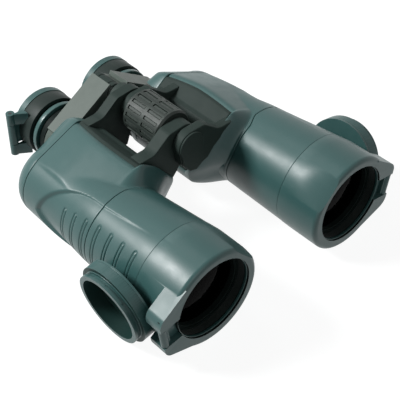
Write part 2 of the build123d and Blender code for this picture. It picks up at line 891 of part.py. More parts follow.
def make_eyepiece_cap(hinge):
    """Cap over the eyecup with the middle knuckle of its hinge."""
    with BuildPart() as cap:
        with BuildSketch(axis_section(eye_cap_front, eyepiece_out, eyepiece_up)):
            Circle(eye_cap_radius)
        extrude(amount=overall_length - eye_cap_front)
        with BuildSketch(hinge.offset(-eye_knuckle_half)):
            Circle(eye_hinge_radius)
            with BuildLine():
                Polyline(
                    (0, eye_hinge_radius),
                    (cap_arm_inner - eye_hinge_out, eye_hinge_radius),
                    (cap_arm_inner - eye_hinge_out, eye_cap_front - eye_hinge_station),
                    (0, eye_cap_front - eye_hinge_station),
                    close=True,
                )
            make_face()
        extrude(amount=2 * eye_knuckle_half)
        with BuildSketch(axis_section(eye_cap_front, eyepiece_out, eyepiece_up)):
            Circle(eye_cap_radius - cap_wall)
        extrude(amount=eye_cap_pocket, mode=Mode.SUBTRACT)
        with BuildSketch(hinge.offset(-eye_hinge_half)):
            Circle(pin_radius + running_fit)
        extrude(amount=2 * eye_hinge_half, mode=Mode.SUBTRACT)
    return cap


def make_eye_pin(hinge):
    """Pin of an eyepiece cap."""
    with BuildPart() as pin:
        with BuildSketch(hinge.offset(-eye_hinge_half)):
            Circle(pin_radius)
        extrude(amount=2 * eye_hinge_half)
    return pin


# The right eyecup is turned with its hinge outward, the left one with its hinge downward
outward_hinge = eye_hinge_plane(Vector(-1, 0, 0))
downward_hinge = eye_hinge_plane(Vector(0, 0, -1))
for name, make in (
    ("eyecup", make_eyecup),
    ("eyepiece_cap", make_eyepiece_cap),
    ("eyepiece_cap_pin", make_eye_pin),
):
    hand_in(make(outward_hinge), f"right_{name}")
    with BuildPart() as left_piece:
        mirror(make(downward_hinge).part, about=Plane.YZ)
    hand_in(left_piece, f"left_{name}")

# Objective cap, a stepped plug that is swung open along the barrel
open_cos = cos(radians(cap_open_angle))
open_sin = sin(radians(cap_open_angle))
backward = Vector(0, 1, 0)
to_cap_centre = lug_out * -open_cos - backward * open_sin
to_cap_mouth = backward * open_cos - lug_out * open_sin
cap_plane = Plane(origin=pin_centre, x_dir=to_cap_centre, z_dir=to_cap_mouth)
cap_pocket = 10.4
cap_arm_thickness = 1.7
cap_heel = 1.0
cap_knuckle_plane = Plane(origin=pin_centre, x_dir=to_cap_centre, z_dir=pin_along)
mouth_way = cap_knuckle_plane.y_dir.dot(to_cap_mouth)

with BuildPart() as objective_cap:
    with BuildSketch(cap_plane.offset(-cap_face)):
        with Locations((cap_hinge_radius, 0)):
            Circle(cap_radius)
    extrude(amount=cap_face + cap_step)
    with BuildSketch(cap_plane.offset(cap_step)):
        with Locations((cap_hinge_radius, 0)):
            Circle(cap_collar_radius)
    extrude(amount=cap_mouth - cap_step)
    with BuildSketch(cap_plane.offset(-cap_face)):
        with Locations((cap_hinge_radius / 2, 0)):
            Rectangle(cap_hinge_radius, 2 * knuckle_half)
    extrude(amount=cap_arm_thickness)
    with BuildSketch(cap_knuckle_plane.offset(-knuckle_half)):
        Circle(knuckle_radius)
        with BuildLine():
            Polyline(
                (-cap_heel, 0),
                (knuckle_radius, 0),
                (knuckle_radius, -cap_face * mouth_way),
                (-cap_heel, -cap_face * mouth_way),
                close=True,
            )
        make_face()
    extrude(amount=2 * knuckle_half)
    with BuildSketch(cap_plane.offset(cap_mouth)):
        with Locations((cap_hinge_radius, 0)):
            Circle(cap_collar_radius - cap_collar_wall)
    extrude(amount=-cap_pocket, mode=Mode.SUBTRACT)
    with BuildSketch(lug_side.offset(-lug_half)):
        Circle(pin_radius + running_fit)
    extrude(amount=2 * lug_half, mode=Mode.SUBTRACT)
hand_in_pair(objective_cap, "objective_cap")

with BuildPart() as objective_cap_pin:
    with BuildSketch(lug_side.offset(-lug_half)):
        Circle(pin_radius)
    extrude(amount=2 * lug_half)
hand_in_pair(objective_cap_pin, "objective_cap_pin")
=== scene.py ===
import json
import math
import bpy
import numpy as np
from mathutils import Matrix, Vector

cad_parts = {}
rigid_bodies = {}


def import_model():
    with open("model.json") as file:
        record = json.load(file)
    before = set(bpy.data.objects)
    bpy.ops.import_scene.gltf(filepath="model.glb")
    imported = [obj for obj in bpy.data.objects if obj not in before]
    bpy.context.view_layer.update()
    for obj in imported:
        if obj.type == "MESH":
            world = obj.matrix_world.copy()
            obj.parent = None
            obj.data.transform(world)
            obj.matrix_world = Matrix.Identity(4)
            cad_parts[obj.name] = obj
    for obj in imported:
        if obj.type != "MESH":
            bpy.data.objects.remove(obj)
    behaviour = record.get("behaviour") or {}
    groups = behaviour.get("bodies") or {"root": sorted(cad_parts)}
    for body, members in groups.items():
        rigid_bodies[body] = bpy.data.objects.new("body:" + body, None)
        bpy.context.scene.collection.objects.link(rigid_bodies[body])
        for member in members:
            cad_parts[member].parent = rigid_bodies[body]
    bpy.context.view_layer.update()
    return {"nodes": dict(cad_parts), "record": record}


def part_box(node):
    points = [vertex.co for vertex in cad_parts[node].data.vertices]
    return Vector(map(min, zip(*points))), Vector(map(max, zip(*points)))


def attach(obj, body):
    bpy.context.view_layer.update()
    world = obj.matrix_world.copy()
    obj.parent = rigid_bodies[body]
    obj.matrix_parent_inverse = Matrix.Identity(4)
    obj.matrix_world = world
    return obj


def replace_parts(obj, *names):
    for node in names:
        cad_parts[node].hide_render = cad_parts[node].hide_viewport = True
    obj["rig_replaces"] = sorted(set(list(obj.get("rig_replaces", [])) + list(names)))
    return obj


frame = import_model()

nodes = frame["nodes"]
body_of = {
    node: body
    for body, members in frame["record"]["behaviour"]["bodies"].items()
    for node in members
}
slot_of = {row["node"]: row["material_slot"] for row in frame["record"]["subparts"]}

# Sizes of the object, in millimetres. Stations are distances behind the objective rims.
MM = 0.001
RIM_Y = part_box("right_objective_shroud")[0].y / MM
HINGE_HEIGHT = 62.6
HALF_TILT = math.radians(25.9)
TILT_COS = math.cos(HALF_TILT)
TILT_SIN = math.sin(HALF_TILT)
BARREL_OUT = 65.2
EYE_OUT = 39.8
EYE_UP = -17.4
FRONT_SEAM = 32.4
REAR_SEAM = 81.4
COVER_SEAM = 148.5
COVER_END = 162.0
SKIN_WALL = 1.6
SEAM_GAP = 0.16
BACKWARD = Vector((0.0, 1.0, 0.0))


def half_point(out, up, station):
    """Place in metres of points of the right half: out from the hinge, up from the half, station."""
    out, up, station = np.broadcast_arrays(out, up, station)
    x = -out * TILT_COS - up * TILT_SIN
    y = RIM_Y + station
    z = HINGE_HEIGHT - out * TILT_SIN + up * TILT_COS
    return np.stack([x, y, z], axis=-1) * MM


def half_vector(out, up):
    """Direction of the right half's own axes in the frame."""
    return Vector((-out * TILT_COS - up * TILT_SIN, 0.0, -out * TILT_SIN + up * TILT_COS))


OUTWARD = half_vector(1.0, 0.0)


def ramp(value, start, end):
    """Smooth step from 0 at start to 1 at end."""
    x = np.clip((value - start) / (end - start), 0.0, 1.0)
    return x * x * (3.0 - 2.0 * x)


def mix(first, second, share):
    return first + (second - first) * share


# Mesh helpers: reach in millimetres of points that meet, and angles in degrees
MEETING_REACH = 0.002
FLAT_ANGLE = 0.5
SHARP_ANGLE = 32.0
SHADING_ANGLE = 38.0


def clear_selection():
    if bpy.context.object and bpy.context.object.mode != "OBJECT":
        bpy.ops.object.mode_set(mode="OBJECT")
    bpy.ops.object.select_all(action="DESELECT")


def take(piece):
    """Makes a piece the only selected one."""
    clear_selection()
    piece.select_set(True)
    bpy.context.view_layer.objects.active = piece
    return piece


def open_mesh(piece):
    """Opens a piece for editing, with all of it selected."""
    take(piece)
    bpy.ops.object.mode_set(mode="EDIT")
    bpy.ops.mesh.select_all(action="SELECT")


def close_mesh():
    bpy.ops.object.mode_set(mode="OBJECT")


def named(name):
    piece = bpy.context.object
    piece.name = name
    piece.data.name = name
    return piece


def set_places(piece, places):
    piece.data.vertices.foreach_set("co", np.asarray(places, np.float32).ravel())
    piece.data.update()


def get_places(piece):
    places = np.empty(len(piece.data.vertices) * 3, np.float32)
    piece.data.vertices.foreach_get("co", places)
    return places.reshape(-1, 3)


def close_seams(piece, recalculate=True):
    """Merges points that meet, and turns the faces outwards."""
    open_mesh(piece)
    bpy.ops.mesh.remove_doubles(threshold=MEETING_REACH * MM)
    if recalculate:
        bpy.ops.mesh.normals_make_consistent(inside=False)
    close_mesh()
    return piece


def round_edges(piece, width, segments=2, angle=SHARP_ANGLE):
    """Rounds the sharp edges of a piece with an applied bevel."""
    take(piece)
    bevel = piece.modifiers.new("rounded_edges", "BEVEL")
    bevel.width = width * MM
    bevel.segments = segments
    bevel.limit_method = "ANGLE"
    bevel.angle_limit = math.radians(angle)
    bevel.use_clamp_overlap = True
    bpy.ops.object.modifier_apply(modifier=bevel.name)
    return piece


def shade(piece, angle=SHADING_ANGLE):
    take(piece)
    bpy.ops.object.shade_smooth_by_angle(angle=math.radians(angle))
    return piece


def weigh_normals(piece):
    """Flat faces keep one shade up to their rounded edges."""
    take(piece)
    weigh = piece.modifiers.new("weighed_normals", "WEIGHTED_NORMAL")
    weigh.keep_sharp = True
    bpy.ops.object.modifier_apply(modifier=weigh.name)
    return piece


def merged(node, name):
    """Copy of a CAD node with merged points and joined flat faces."""
    clear_selection()
    piece = bpy.data.objects.new(name, nodes[node].data.copy())
    piece.data.name = name
    piece.data.materials.clear()
    bpy.context.scene.collection.objects.link(piece)
    close_seams(piece, recalculate=False)
    open_mesh(piece)
    bpy.ops.mesh.dissolve_limited(angle_limit=math.radians(FLAT_ANGLE))
    close_mesh()
    return piece


def softened(node, name, width, segments=2):
    """Copy of a CAD node with rounded edges."""
    return shade(round_edges(merged(node, name), width, segments))


def round_picked(piece, width, segments, picked):
    """Rounds the edges that picked chooses from their two end points in millimetres."""
    places = get_places(piece) / MM
    ends = np.empty(len(piece.data.edges) * 2, np.int32)
    piece.data.edges.foreach_get("vertices", ends)
    ends = ends.reshape(-1, 2)
    chosen = picked(places[ends[:, 0]], places[ends[:, 1]])
    piece.data.polygons.foreach_set("select", np.zeros(len(piece.data.polygons), bool))
    piece.data.vertices.foreach_set("select", np.zeros(len(piece.data.vertices), bool))
    piece.data.edges.foreach_set("select", chosen)
    take(piece)
    bpy.context.tool_settings.mesh_select_mode = (False, True, False)
    bpy.ops.object.mode_set(mode="EDIT")
    bpy.ops.mesh.bevel(offset=width * MM, segments=segments, affect="EDGES")
    close_mesh()
    bpy.context.tool_settings.mesh_select_mode = (True, False, False)
    return piece


def skin(name, columns, rows, places_of):
    """Grid bent into a closed skin. places_of takes column angles and row numbers."""
    clear_selection()
    bpy.ops.mesh.primitive_grid_add(x_subdivisions=columns, y_subdivisions=rows, size=2.0)
    piece = named(name)
    flat = get_places(piece)
    angle = (flat[:, 0].astype(float) + 1.0) * math.pi
    row = np.rint((flat[:, 1] + 1.0) / 2.0 * rows).astype(int)
    set_places(piece, places_of(angle, row))
    return close_seams(piece)


def turned(name, profile, centre, axis, across, steps):
    """Closed ring of (radius, along) points spun about an axis."""
    clear_selection()
    bpy.ops.mesh.primitive_circle_add(vertices=len(profile), radius=1.0)
    piece = named(name)
    centre = Vector(centre)
    places = [centre + across * (radius * MM) + axis * (along * MM) for radius, along in profile]
    set_places(piece, [tuple(place) for place in places])
    open_mesh(piece)
    bpy.ops.mesh.spin(steps=steps, angle=2.0 * math.pi, center=tuple(centre), axis=tuple(axis))
    close_mesh()
    return close_seams(piece)


# A turned profile ends this close to its axis, and the merge closes it there
CORE = 0.001


def drill(radius, start, end):
    """Profile of a plain round drill between two places along its axis."""
    return [(CORE, start), (radius, start), (radius, end), (CORE, end)]


def prism(name, outline, start, end, place):
    """Outline of (across, up) points drawn out between two depths, where place gives the points."""
    clear_selection()
    bpy.ops.mesh.primitive_circle_add(vertices=len(outline), radius=1.0, fill_type="NGON")
    piece = named(name)
    corners = np.array(outline, float)
    set_places(piece, place(corners[:, 0], corners[:, 1], start))
    open_mesh(piece)
    step = place(0.0, 0.0, end) - place(0.0, 0.0, start)
    bpy.ops.mesh.extrude_region_move(TRANSFORM_OT_translate={"value": tuple(step)})
    close_mesh()
    return close_seams(piece)


def carve(piece, tool):
    """Cuts a tool out of a piece and removes the tool."""
    take(piece)
    cut = piece.modifiers.new("carve", "BOOLEAN")
    cut.object = tool
    cut.operation = "DIFFERENCE"
    cut.solver = "EXACT"
    bpy.ops.object.modifier_apply(modifier=cut.name)
    bpy.data.objects.remove(tool)
    return piece


def joined(pieces, name):
    clear_selection()
    for piece in pieces:
        piece.select_set(True)
    bpy.context.view_layer.objects.active = pieces[0]
    bpy.ops.object.join()
    return named(name)


def twin(piece, name):
    """Copy of a right-hand piece on the left."""
    other = bpy.data.objects.new(name, piece.data.copy())
    other.data.name = name
    bpy.context.scene.collection.objects.link(other)
    other.data.transform(Matrix.Scale(-1.0, 4, (1.0, 0.0, 0.0)))
    other.data.flip_normals()
    return other


# Shader helpers

def new_group(name, inputs, outputs):
    group = bpy.data.node_groups.new(name, "ShaderNodeTree")
    for socket, kind in inputs:
        group.interface.new_socket(socket, in_out="INPUT", socket_type=kind)
    for socket, kind in outputs:
        group.interface.new_socket(socket, in_out="OUTPUT", socket_type=kind)
    return group, group.nodes.new("NodeGroupInput"), group.nodes.new("NodeGroupOutput")


def feed(tree, socket, value):
    """Links a socket to another one, or gives it a plain value."""
    if isinstance(value, bpy.types.NodeSocket):
        tree.links.new(value, socket)
    else:
        socket.default_value = value


def math_node(tree, operation, *values, clamp=False):
    node = tree.nodes.new("ShaderNodeMath")
    node.operation = operation
    node.use_clamp = clamp
    for socket, value in zip(node.inputs, values):
        feed(tree, socket, value)
    return node.outputs[0]


def noise_node(tree, vector, scale, detail, roughness):
    node = tree.nodes.new("ShaderNodeTexNoise")
    feed(tree, node.inputs["Vector"], vector)
    feed(tree, node.inputs["Scale"], scale)
    node.inputs["Detail"].default_value = detail
    node.inputs["Roughness"].default_value = roughness
    return node.outputs[0]


def colour_mix(tree, share, first, second):
    node = tree.nodes.new("ShaderNodeMix")
    node.data_type = "RGBA"
    for value, socket in ((share, node.inputs[0]), (first, node.inputs[6]), (second, node.inputs[7])):
        feed(tree, socket, value)
    return node.outputs[2]


# Moulded surface: pattern scales are in repeats a metre
CLOUD_SCALE = 38.0
CLOUD_CONTRAST = 1.6
CLOUD_LEVEL = -0.35
SMUDGE_SCALE = 150.0
GRAIN_SCALE = 2400.0
GRAIN_HEIGHT = 0.0003
SPECK_LEVEL = 0.66
SPECK_SHARE = 0.16
RUB_AMOUNT = 0.6
RUBBED_POINTINESS = (0.515, 0.60)
ROUGHNESS_SPREAD = 0.16


def make_moulded_surface():
    """Colour, roughness and height of a moulded surface: soft clouding, fine grain, rubbed edges."""
    group, given, result = new_group(
        "moulded_surface",
        [
            ("Vector", "NodeSocketVector"),
            ("Base", "NodeSocketColor"),
            ("Shade", "NodeSocketColor"),
            ("Rubbed", "NodeSocketColor"),
            ("Rub Amount", "NodeSocketFloat"),
            ("Roughness", "NodeSocketFloat"),
            ("Grain Scale", "NodeSocketFloat"),
        ],
        [("Color", "NodeSocketColor"), ("Roughness", "NodeSocketFloat"), ("Height", "NodeSocketFloat")],
    )
    given = given.outputs
    clouds = noise_node(group, given["Vector"], CLOUD_SCALE, detail=5.0, roughness=0.6)
    smudge = noise_node(group, given["Vector"], SMUDGE_SCALE, detail=3.0, roughness=0.5)
    grain = noise_node(group, given["Vector"], given["Grain Scale"], detail=2.0, roughness=0.5)
    cloud_share = math_node(group, "MULTIPLY_ADD", clouds, CLOUD_CONTRAST, CLOUD_LEVEL, clamp=True)
    body = colour_mix(group, cloud_share, given["Base"], given["Shade"])
    speck = math_node(group, "GREATER_THAN", grain, SPECK_LEVEL)
    speck_share = math_node(group, "MULTIPLY", speck, SPECK_SHARE)
    body = colour_mix(group, speck_share, body, given["Rubbed"])
    geometry = group.nodes.new("ShaderNodeNewGeometry")
    edge = group.nodes.new("ShaderNodeMapRange")
    edge.inputs["From Min"].default_value, edge.inputs["From Max"].default_value = RUBBED_POINTINESS
    feed(group, edge.inputs["Value"], geometry.outputs["Pointiness"])
    broken = math_node(group, "MULTIPLY", edge.outputs["Result"], smudge)
    rub = math_node(group, "MULTIPLY", broken, given["Rub Amount"], clamp=True)
    feed(group, result.inputs["Color"], colour_mix(group, rub, body, given["Rubbed"]))
    uneven = math_node(group, "MULTIPLY_ADD", smudge, ROUGHNESS_SPREAD, -ROUGHNESS_SPREAD / 2.0)
    rough = math_node(group, "ADD", given["Roughness"], uneven, clamp=True)
    feed(group, result.inputs["Roughness"], rough)
    feed(group, result.inputs["Height"], grain)
    return group


moulded_surface = make_moulded_surface()


# Materials

def new_material(name):
    material = bpy.data.materials.new(name)
    material.use_nodes = True
    return material, material.node_tree, material.node_tree.nodes["Principled BSDF"]


def object_place(tree):
    return tree.nodes.new("ShaderNodeTexCoord").outputs["Object"]


def moulded(name, base, dark, rubbed, roughness, grain=GRAIN_SCALE, depth=0.06, metallic=0.0, specular=0.5):
    """Moulded rubber, plastic or painted metal."""
    material, tree, shader = new_material(name)
    group = tree.nodes.new("ShaderNodeGroup")
    group.node_tree = moulded_surface
    for socket, value in (
        ("Vector", object_place(tree)),
        ("Base", (*base, 1.0)),
        ("Shade", (*dark, 1.0)),
        ("Rubbed", (*rubbed, 1.0)),
        ("Rub Amount", RUB_AMOUNT),
        ("Roughness", roughness),
        ("Grain Scale", grain),
    ):
        feed(tree, group.inputs[socket], value)
    bump = tree.nodes.new("ShaderNodeBump")
    bump.inputs["Strength"].default_value = depth
    bump.inputs["Distance"].default_value = GRAIN_HEIGHT
    feed(tree, bump.inputs["Height"], group.outputs["Height"])
    feed(tree, shader.inputs["Base Color"], group.outputs["Color"])
    feed(tree, shader.inputs["Roughness"], group.outputs["Roughness"])
    feed(tree, shader.inputs["Normal"], bump.outputs["Normal"])
    shader.inputs["Metallic"].default_value = metallic
    shader.inputs["Specular IOR Level"].default_value = specular
    return material


TURNING_SCALE = 320.0
TURNING_STRETCH = (1.0, 12.0, 1.0)
STEEL_DARK = (0.42, 0.43, 0.44, 1.0)
STEEL_BRIGHT = (0.62, 0.63, 0.64, 1.0)
STEEL_ROUGHNESS = 0.18
STEEL_UNEVEN = 0.25


def turned_steel(name):
    """Bright steel with fine turning marks."""
    material, tree, shader = new_material(name)
    mapping = tree.nodes.new("ShaderNodeMapping")
    mapping.inputs["Scale"].default_value = TURNING_STRETCH
    feed(tree, mapping.inputs["Vector"], object_place(tree))
    marks = noise_node(tree, mapping.outputs["Vector"], TURNING_SCALE, detail=3.0, roughness=0.6)
    feed(tree, shader.inputs["Base Color"], colour_mix(tree, marks, STEEL_DARK, STEEL_BRIGHT))
    rough = math_node(tree, "MULTIPLY_ADD", marks, STEEL_UNEVEN, STEEL_ROUGHNESS)
    feed(tree, shader.inputs["Roughness"], rough)
    shader.inputs["Metallic"].default_value = 1.0
    return material


HAZE_SCALE = 45.0
HAZE_ROUGHNESS = 0.03
HAZE_SHADE = 0.8


def lens_glass(name, tint, bending, specular):
    """Polished glass with a coating that keeps reflections low, and a faint haze in its tint and gloss."""
    material, tree, shader = new_material(name)
    haze = noise_node(tree, object_place(tree), HAZE_SCALE, detail=2.0, roughness=0.5)
    feed(tree, shader.inputs["Roughness"], math_node(tree, "MULTIPLY", haze, HAZE_ROUGHNESS))
    shaded = [value * HAZE_SHADE for value in tint]
    feed(tree, shader.inputs["Base Color"], colour_mix(tree, haze, (*tint, 1.0), (*shaded, 1.0)))
    shader.inputs["Metallic"].default_value = 0.0
    shader.inputs["Transmission Weight"].default_value = 1.0
    shader.inputs["IOR"].default_value = bending
    shader.inputs["Specular IOR Level"].default_value = specular
    return material


MOULDED_FINISHES = {
    "armour_teal": dict(
        base=(0.036, 0.100, 0.097), dark=(0.031, 0.088, 0.085), rubbed=(0.11, 0.19, 0.185),
        roughness=0.37, depth=0.03, specular=0.44),
    "cap_teal": dict(
        base=(0.032, 0.090, 0.087), dark=(0.028, 0.080, 0.077), rubbed=(0.11, 0.19, 0.185),
        roughness=0.38, depth=0.03, specular=0.36),
    "ring_teal": dict(
        base=(0.038, 0.104, 0.099), dark=(0.033, 0.092, 0.087), rubbed=(0.12, 0.2, 0.19),
        roughness=0.28, depth=0.02, specular=0.4),
    "frame_charcoal": dict(
        base=(0.024, 0.038, 0.034), dark=(0.019, 0.031, 0.027), rubbed=(0.06, 0.08, 0.073),
        roughness=0.55, grain=3200.0, depth=0.10, specular=0.15),
    "arm_charcoal": dict(
        base=(0.026, 0.040, 0.036), dark=(0.020, 0.032, 0.028), rubbed=(0.08, 0.105, 0.095),
        roughness=0.56, grain=3200.0, depth=0.08, specular=0.1),
    "bridge_grey": dict(
        base=(0.088, 0.112, 0.098), dark=(0.075, 0.096, 0.084), rubbed=(0.19, 0.225, 0.205),
        roughness=0.46, grain=3600.0, depth=0.08, specular=0.2),
    "tube_black": dict(
        base=(0.005, 0.009, 0.008), dark=(0.003, 0.006, 0.005), rubbed=(0.02, 0.03, 0.028),
        roughness=0.5, grain=3000.0, depth=0.05, specular=0.07),
    "wheel_rubber": dict(
        base=(0.026, 0.035, 0.031), dark=(0.020, 0.028, 0.025), rubbed=(0.08, 0.10, 0.09),
        roughness=0.46, grain=2600.0, depth=0.12, specular=0.25),
    "eyecup_rubber": dict(
        base=(0.013, 0.023, 0.020), dark=(0.010, 0.018, 0.016), rubbed=(0.05, 0.07, 0.063),
        roughness=0.5, grain=2600.0, depth=0.12, specular=0.2),
    # Darker teal for the inside of the objective cap: painted shade in its hollow
    "cap_hollow_painted_shade": dict(
        base=(0.012, 0.036, 0.032), dark=(0.009, 0.028, 0.025), rubbed=(0.04, 0.08, 0.075),
        roughness=0.5, specular=0.15),
    "dark_pin": dict(
        base=(0.02, 0.024, 0.024), dark=(0.014, 0.018, 0.018), rubbed=(0.09, 0.1, 0.1),
        roughness=0.35, metallic=0.6),
}
finish = {name: moulded(name, **look) for name, look in MOULDED_FINISHES.items()}
finish["steel"] = turned_steel("steel")
# The front lens is tinted near black: painted shade for the dark inside of the barrel seen through it
finish["coated_glass"] = lens_glass("coated_glass", tint=(0.010, 0.018, 0.016), bending=1.06, specular=0.3)
finish["prism_glass"] = lens_glass("prism_glass", tint=(0.82, 0.90, 0.90), bending=1.5, specular=0.5)


def paint(piece, node, second, picked):
    """Gives the faces that picked chooses, from their middles in millimetres, a second finish."""
    piece.data.materials.append(finish[slot_of[node]])
    piece.data.materials.append(finish[second])
    middles = np.empty(len(piece.data.polygons) * 3, np.float32)
    piece.data.polygons.foreach_get("center", middles)
    chosen = picked(middles.reshape(-1, 3) / MM)
    piece.data.polygons.foreach_set("material_index", chosen.astype(np.int32))
    return piece


def from_axis(middles, axis_point):
    """Distance of places from an axis that runs from front to back."""
    return np.hypot(middles[:, 0] - axis_point[0], middles[:, 2] - axis_point[2])


def stand_for(piece, node):
    """The piece takes a CAD node's place, body and finish."""
    if not piece.data.materials:
        piece.data.materials.append(finish[slot_of[node]])
    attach(piece, body_of[node])
    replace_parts(piece, node)


def both_sides(piece, node):
    """A right-hand piece and its twin take the places of the two nodes of a pair."""
    left = twin(piece, piece.name.replace("right", "left"))
    stand_for(piece, f"right_{node}")
    stand_for(left, f"left_{node}")
    return piece, left


# Body skin: its outline is a radius round a middle point of each cross section
MIDDLE = (64.0, -5.0)
UPRIGHT = 90.0
# Directions round the section, in degrees, between which one side of the body passes into the next
LOBE_UPPER = (116.0, 138.0)
LOBE_LOWER = (-62.0, -34.0)
UNDER_LOBE = (175.0, 225.0)
UNDER_BARREL = (-60.0, 0.0)


def turn_of(angle):
    """Angle in degrees from -90 to 270."""
    return (np.degrees(angle) + 90.0) % 360.0 - 90.0


def lobe_side(degrees, upper=LOBE_UPPER):
    """1 on the side of the prism lobe, 0 on the barrel's outer side."""
    return np.maximum(ramp(degrees, *upper), 1.0 - ramp(degrees, *LOBE_LOWER))


def low_side(degrees):
    """1 on the underside of the lobe, 0 on its upper side."""
    return np.maximum(ramp(degrees, *UNDER_LOBE), 1.0 - ramp(degrees, *UNDER_BARREL))


# Barrel: its centre lies a drop below the optical axis, which grows by the fall per millimetre
AXIS_HEIGHT = HINGE_HEIGHT - BARREL_OUT * TILT_SIN
FLOOR_GAP = 0.15
BARREL_DROP = 1.2
BARREL_FALL = 0.0551


def barrel_reach(angle, station):
    """Barrel cone that narrows rearward while its lowest line stays level."""
    drop = BARREL_DROP + BARREL_FALL * (station - FRONT_SEAM)
    radius = AXIS_HEIGHT - FLOOR_GAP - drop
    across = BARREL_OUT - MIDDLE[0] + drop * TILT_SIN
    up = -MIDDLE[1] - drop * TILT_COS
    ahead = across * np.cos(angle) + up * np.sin(angle)
    return ahead + np.sqrt(radius ** 2 - across ** 2 - up ** 2 + ahead ** 2)


# Top panel: its height over the middle point, and how it falls to both ends
PANEL_TOP = 28.2
PANEL_MIDDLE = 120.0
PANEL_FRONT_FALL = 1.3
PANEL_FRONT_LENGTH = 30.0
PANEL_REAR_FALL = 3.2
PANEL_REAR_LENGTH = 26.0
PANEL_REAR_END = 1.4


def panel_distance(station):
    """The top panel is highest at its middle and falls to both ends."""
    ahead = np.clip((PANEL_MIDDLE - station) / PANEL_FRONT_LENGTH, 0.0, 1.0)
    behind = np.clip((station - PANEL_MIDDLE) / PANEL_REAR_LENGTH, 0.0, PANEL_REAR_END)
    return PANEL_TOP - PANEL_FRONT_FALL * ahead ** 2 - PANEL_REAR_FALL * behind ** 1.5


# Housing: direction in degrees of its flat faces, and their distance from the middle point
PANEL_TURN = 92.0
SHOULDER_TURN = 60.0
SHOULDER_DISTANCE = 28.5
SHOULDER_TAPER = 0.1
SHOULDER_TAPER_START = 112.0
FIXED_FACES = (
    (22.8, 28.0),
    (-24.6, 28.0),
    (-64.1, 28.8),
    (-80.8, 30.6),
    (-96.3, 35.1),
    (-135.9, 46.3),
)
SADDLE_FACES = ((169.9, 38.5), (149.3, 38.0))
# The higher the power, the sharper the edges between the faces
ROUNDING = 28.0
CREASE = 84.0
# Front edge of the saddle, on the upper side and on the underside, and how far the armour sinks behind it
SADDLE_START = (89.4, 101.5)
SADDLE_SINK = 1.6
NOSE_BULGE = 3.0
NOSE_ROLL = 2.5
SINK_END = COVER_SEAM + 0.1


def saddle_front(degrees):
    """Station of the saddle's front edge, which slants back to the underside."""
    return mix(*SADDLE_START, low_side(degrees))


def housing_reach(angle, station):
    """Rounded outline of the prism housing at a station."""
    front = saddle_front(turn_of(angle))
    sink = mix(-NOSE_BULGE, SADDLE_SINK, ramp(station, front - NOSE_ROLL, front))
    sink = np.where(station < SINK_END, sink, 0.0)
    soft = list(FIXED_FACES)
    soft += [(direction, distance - sink) for direction, distance in SADDLE_FACES]
    taper = SHOULDER_TAPER * np.maximum(station - SHOULDER_TAPER_START, 0.0)
    creased = [(PANEL_TURN, panel_distance(station)), (SHOULDER_TURN, SHOULDER_DISTANCE - taper)]

    def nearness(faces, power):
        return sum(
            (np.maximum(np.cos(angle - math.radians(direction)), 0.0) / distance) ** power
            for direction, distance in faces
        )

    total = nearness(soft, ROUNDING) + nearness(creased, CREASE) ** (ROUNDING / CREASE)
    return total ** (-1.0 / ROUNDING)


# Grip scoop on the outer side: its edge runs almost level along the sleeve and turns down behind it
SCOOP_TOP = 85.4
SCOOP_BOTTOM = -30.0
SCOOP_LEAN = 0.174
SCOOP_LENGTH = 57.0
SCOOP_CURVE = 2.4
SCOOP_REAR = 135.0
SCOOP_REAR_PULL = 13.0
SCOOP_REAR_TURN = 25.0
SCOOP_REAR_SPAN = 28.0
SCOOP_END = 138.2
SCOOP_SLEEVE_DEPTH = 0.5
SCOOP_SLEEVE_RUN = (34.0, 75.0)
SCOOP_HOUSING_DEPTH = 1.6
SCOOP_HOUSING_RUN = (86.0, 122.0)
SCOOP_EDGE = 0.9
SCOOP_EDGE_GROWTH = 3.2
SCOOP_EDGE_RUN = (96.0, 134.0)
SCOOP_FADE = (-70.0, -25.0)
SLOPE_STEP = 0.25


def scoop_turn(station):
    """Direction of the edge of the grip scoop on the outer side."""
    along = np.clip((station - REAR_SEAM) / SCOOP_LENGTH, 0.0, 1.0)
    bend = (1.0 - along ** SCOOP_CURVE) ** (1.0 / SCOOP_CURVE)
    curved = SCOOP_BOTTOM + (SCOOP_TOP - SCOOP_BOTTOM) * bend
    return np.where(station < REAR_SEAM, SCOOP_TOP + SCOOP_LEAN * (REAR_SEAM - station), curved)


def scoop_depth(degrees, station, reach):
    """Depth of the grip scoop, which grows from its edge inwards and rearwards."""
    slope = (scoop_turn(station + SLOPE_STEP) - scoop_turn(station - SLOPE_STEP)) / (2.0 * SLOPE_STEP)
    slope = np.radians(slope) * reach
    inside = np.radians(scoop_turn(station) - degrees) * reach / np.sqrt(1.0 + slope ** 2)
    below = np.maximum(SCOOP_REAR_TURN - degrees, 0.0) / SCOOP_REAR_SPAN
    rear_edge = SCOOP_REAR - SCOOP_REAR_PULL * below ** 2
    inside = np.where(degrees < SCOOP_REAR_TURN, np.minimum(inside, rear_edge - station), inside)
    depth = SCOOP_SLEEVE_DEPTH * ramp(station, *SCOOP_SLEEVE_RUN)
    depth = depth + SCOOP_HOUSING_DEPTH * ramp(station, *SCOOP_HOUSING_RUN)
    width = SCOOP_EDGE + SCOOP_EDGE_GROWTH * ramp(station, *SCOOP_EDGE_RUN)
    return depth * ramp(inside / width, 0.0, 1.0) * ramp(degrees, *SCOOP_FADE) * (station < SCOOP_END)


# Grip bars: their stations, and the direction in degrees of each one's top
SLOT_STATIONS = (41.6, 52.6, 63.6, 74.6, 86.2, 96.6, 107.0)
SLOT_TOPS = (68.6, 67.0, 66.0, 64.1, 60.0, 56.0, 51.0)
SLOT_HALF = 1.2
SLOT_LINE = 0.40
SLOT_DEPTH = 0.6
SLOT_FADE = (-62.0, -50.0)


